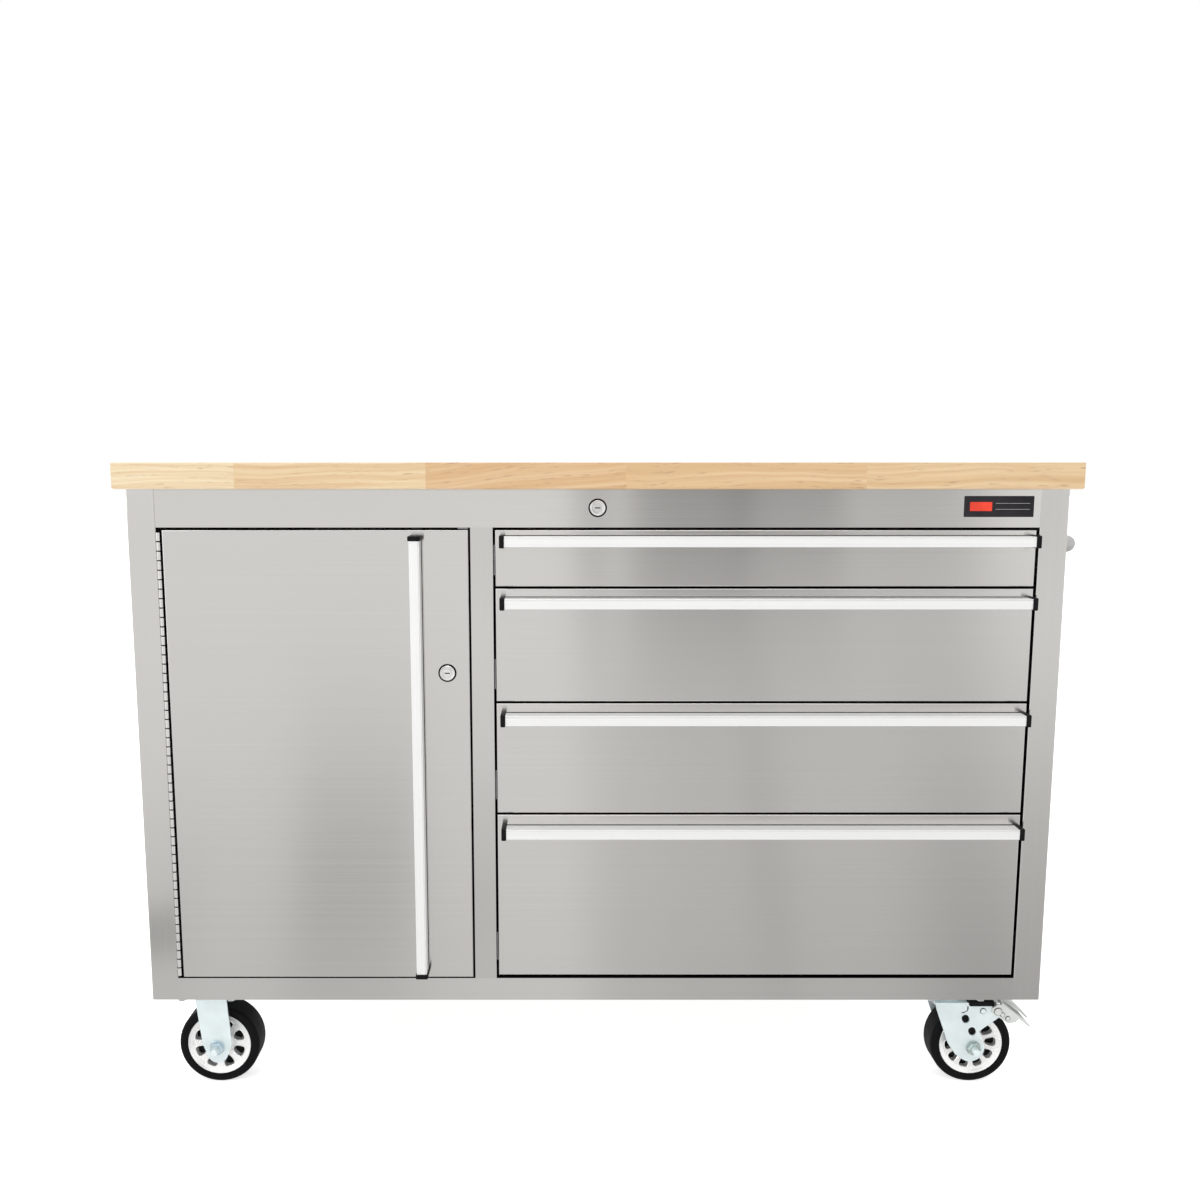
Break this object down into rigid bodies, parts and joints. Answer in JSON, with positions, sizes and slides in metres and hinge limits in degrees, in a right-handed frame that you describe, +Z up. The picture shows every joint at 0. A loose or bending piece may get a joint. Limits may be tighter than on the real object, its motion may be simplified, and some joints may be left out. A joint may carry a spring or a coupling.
{
  "type": "rolling tool chest",
  "caption": "Wide stainless rolling tool chest with a wooden worktop, a side door, stacked drawers with full-width pulls, locks, a push handle and casters with brakes.",
  "frame": {"origin": "on the floor under the middle of the whole bounding box, push handle and pulls included", "axes": "+X to the right as seen from the front, +Y from the drawers to the back, +Z up"},
  "size_m": [1.4376, 0.6226, 0.978],
  "materials": {
    "stainless": "horizontally brushed stainless sheet, satin",
    "galvanised": "plain zinc-coated sheet, dull",
    "rubberwood": "oiled butcher-block, satin",
    "pull_aluminium": "bright satin anodised",
    "black_plastic": "moulded, matt",
    "zinc": "bright zinc plated",
    "blue_zinc": "pale blue-white zinc plate, satin",
    "chrome": "polished",
    "rim_chrome": "bright plated, slightly hazy",
    "lock_chrome": "polished",
    "hinge_steel": "satin stainless",
    "tyre_rubber": "smooth black rubber, matt"
  },
  "bodies": {
    "chest": {"worktop": "rubberwood", "side_panel_left": "stainless", "side_panel_right": "stainless", "back_panel": "stainless", "floor_panel": "stainless", "top_rail": "stainless", "bottom_rail": "stainless", "divider_panel": "stainless", "caster_channels": "galvanised", "push_handle": "chrome", "swivel_top_plates": "blue_zinc", "rigid_caster_forks": "blue_zinc", "caster_bolts": "zinc", "slide_outer_rails": "zinc", "hinge_frame_leaf": "hinge_steel", "drawer_lock_housing": "lock_chrome", "adjustable_shelf": "stainless", "shelf_clips": "zinc", "magnetic_catch": "zinc"},
    "door": {"door_panel": "stainless", "door_liner": "stainless", "door_handle": "pull_aluminium", "door_handle_caps": "black_plastic", "hinge_door_leaf": "hinge_steel", "door_lock_housing": "lock_chrome"},
    "door_lock_plug": {"door_lock_plug": "lock_chrome"},
    "drawer_lock_plug": {"drawer_lock_plug": "lock_chrome"},
    "drawer_lock_bar": {"drawer_lock_bar": "zinc"},
    "drawer_1": {"drawer_front_1": "stainless", "drawer_box_1": "galvanised", "drawer_handle_1": "pull_aluminium", "drawer_handle_caps_1": "black_plastic"},
    "slide_middle_1": {"slide_middle_1": "zinc"},
    "drawer_2": {"drawer_front_2": "stainless", "drawer_box_2": "galvanised", "drawer_handle_2": "pull_aluminium", "drawer_handle_caps_2": "black_plastic"},
    "slide_middle_2": {"slide_middle_2": "zinc"},
    "drawer_3": {"drawer_front_3": "stainless", "drawer_box_3": "galvanised", "drawer_handle_3": "pull_aluminium", "drawer_handle_caps_3": "black_plastic"},
    "slide_middle_3": {"slide_middle_3": "zinc"},
    "drawer_4": {"drawer_front_4": "stainless", "drawer_box_4": "galvanised", "drawer_handle_4": "pull_aluminium", "drawer_handle_caps_4": "black_plastic"},
    "slide_middle_4": {"slide_middle_4": "zinc"},
    "swivel_fork_front": {"swivel_fork_front": "blue_zinc"},
    "brake_pedal_front": {"brake_pedal_front": "zinc"},
    "wheel_front_left": {"wheel_rim_front_left": "rim_chrome", "wheel_tyre_front_left": "tyre_rubber"},
    "wheel_front_right": {"wheel_rim_front_right": "rim_chrome", "wheel_tyre_front_right": "tyre_rubber"},
    "swivel_fork_rear": {"swivel_fork_rear": "blue_zinc"},
    "brake_pedal_rear": {"brake_pedal_rear": "zinc"},
    "wheel_rear_left": {"wheel_rim_rear_left": "rim_chrome", "wheel_tyre_rear_left": "tyre_rubber"},
    "wheel_rear_right": {"wheel_rim_rear_right": "rim_chrome", "wheel_tyre_rear_right": "tyre_rubber"}
  },
  "joints": [
    {"name": "door_hinge", "type": "hinge", "parent": "chest", "child": "door", "pos_m": [-0.6602, -0.28465, 0.54], "axis": [0, 0, -1], "range_deg": [0, 170]},
    {"name": "door_lock_turn", "type": "hinge", "parent": "door", "child": "door_lock_plug", "pos_m": [-0.24175, -0.28465, 0.67], "axis": [0, 1, 0], "range_deg": [0, 90]},
    {"name": "drawer_lock_turn", "type": "hinge", "parent": "chest", "child": "drawer_lock_plug", "pos_m": [-0.02025, -0.28465, 0.913], "axis": [0, 1, 0], "range_deg": [0, 90]},
    {"name": "drawer_lock_bar_slide", "type": "slide", "parent": "chest", "child": "drawer_lock_bar", "axis": [0, 0, -1], "range_m": [0, 0.0113]},
    {"name": "drawer_1_slide", "type": "slide", "parent": "chest", "child": "drawer_1", "axis": [0, -1, 0], "range_m": [0, 0.45]},
    {"name": "slide_middle_1_slide", "type": "slide", "parent": "chest", "child": "slide_middle_1", "axis": [0, -1, 0], "range_m": [0, 0.2251]},
    {"name": "drawer_2_slide", "type": "slide", "parent": "chest", "child": "drawer_2", "axis": [0, -1, 0], "range_m": [0, 0.45]},
    {"name": "slide_middle_2_slide", "type": "slide", "parent": "chest", "child": "slide_middle_2", "axis": [0, -1, 0], "range_m": [0, 0.2251]},
    {"name": "drawer_3_slide", "type": "slide", "parent": "chest", "child": "drawer_3", "axis": [0, -1, 0], "range_m": [0, 0.45]},
    {"name": "slide_middle_3_slide", "type": "slide", "parent": "chest", "child": "slide_middle_3", "axis": [0, -1, 0], "range_m": [0, 0.2251]},
    {"name": "drawer_4_slide", "type": "slide", "parent": "chest", "child": "drawer_4", "axis": [0, -1, 0], "range_m": [0, 0.45]},
    {"name": "slide_middle_4_slide", "type": "slide", "parent": "chest", "child": "slide_middle_4", "axis": [0, -1, 0], "range_m": [0, 0.2251]},
    {"name": "wheel_front_left_spin", "type": "hinge", "parent": "chest", "child": "wheel_front_left", "pos_m": [-0.61775, -0.21965, 0.0635], "axis": [0, 1, 0], "continuous": true},
    {"name": "wheel_front_right_spin", "type": "hinge", "parent": "swivel_fork_front", "child": "wheel_front_right", "pos_m": [0.57725, -0.21965, 0.0635], "axis": [0, 1, 0], "continuous": true},
    {"name": "swivel_front", "type": "hinge", "parent": "chest", "child": "swivel_fork_front", "pos_m": [0.54175, -0.21965, 0.14], "axis": [0, 0, 1], "continuous": true},
    {"name": "brake_front", "type": "hinge", "parent": "swivel_fork_front", "child": "brake_pedal_front", "pos_m": [0.61245, -0.21965, 0.1249], "axis": [0, 1, 0], "range_deg": [0, 7]},
    {"name": "wheel_rear_left_spin", "type": "hinge", "parent": "chest", "child": "wheel_rear_left", "pos_m": [-0.61775, 0.23235, 0.0635], "axis": [0, 1, 0], "continuous": true},
    {"name": "wheel_rear_right_spin", "type": "hinge", "parent": "swivel_fork_rear", "child": "wheel_rear_right", "pos_m": [0.57725, 0.23235, 0.0635], "axis": [0, 1, 0], "continuous": true},
    {"name": "swivel_rear", "type": "hinge", "parent": "chest", "child": "swivel_fork_rear", "pos_m": [0.54175, 0.23235, 0.14], "axis": [0, 0, 1], "continuous": true},
    {"name": "brake_rear", "type": "hinge", "parent": "swivel_fork_rear", "child": "brake_pedal_rear", "pos_m": [0.61245, 0.23235, 0.1249], "axis": [0, 1, 0], "range_deg": [0, 7]}
  ],
  "couplings": [
    {"joint": "drawer_lock_turn", "follows": "drawer_lock_bar_slide", "rad_per_m": 138.84},
    {"joint": "slide_middle_1_slide", "follows": "drawer_1_slide", "ratio": 0.5},
    {"joint": "slide_middle_2_slide", "follows": "drawer_2_slide", "ratio": 0.5},
    {"joint": "slide_middle_3_slide", "follows": "drawer_3_slide", "ratio": 0.5},
    {"joint": "slide_middle_4_slide", "follows": "drawer_4_slide", "ratio": 0.5}
  ]
}
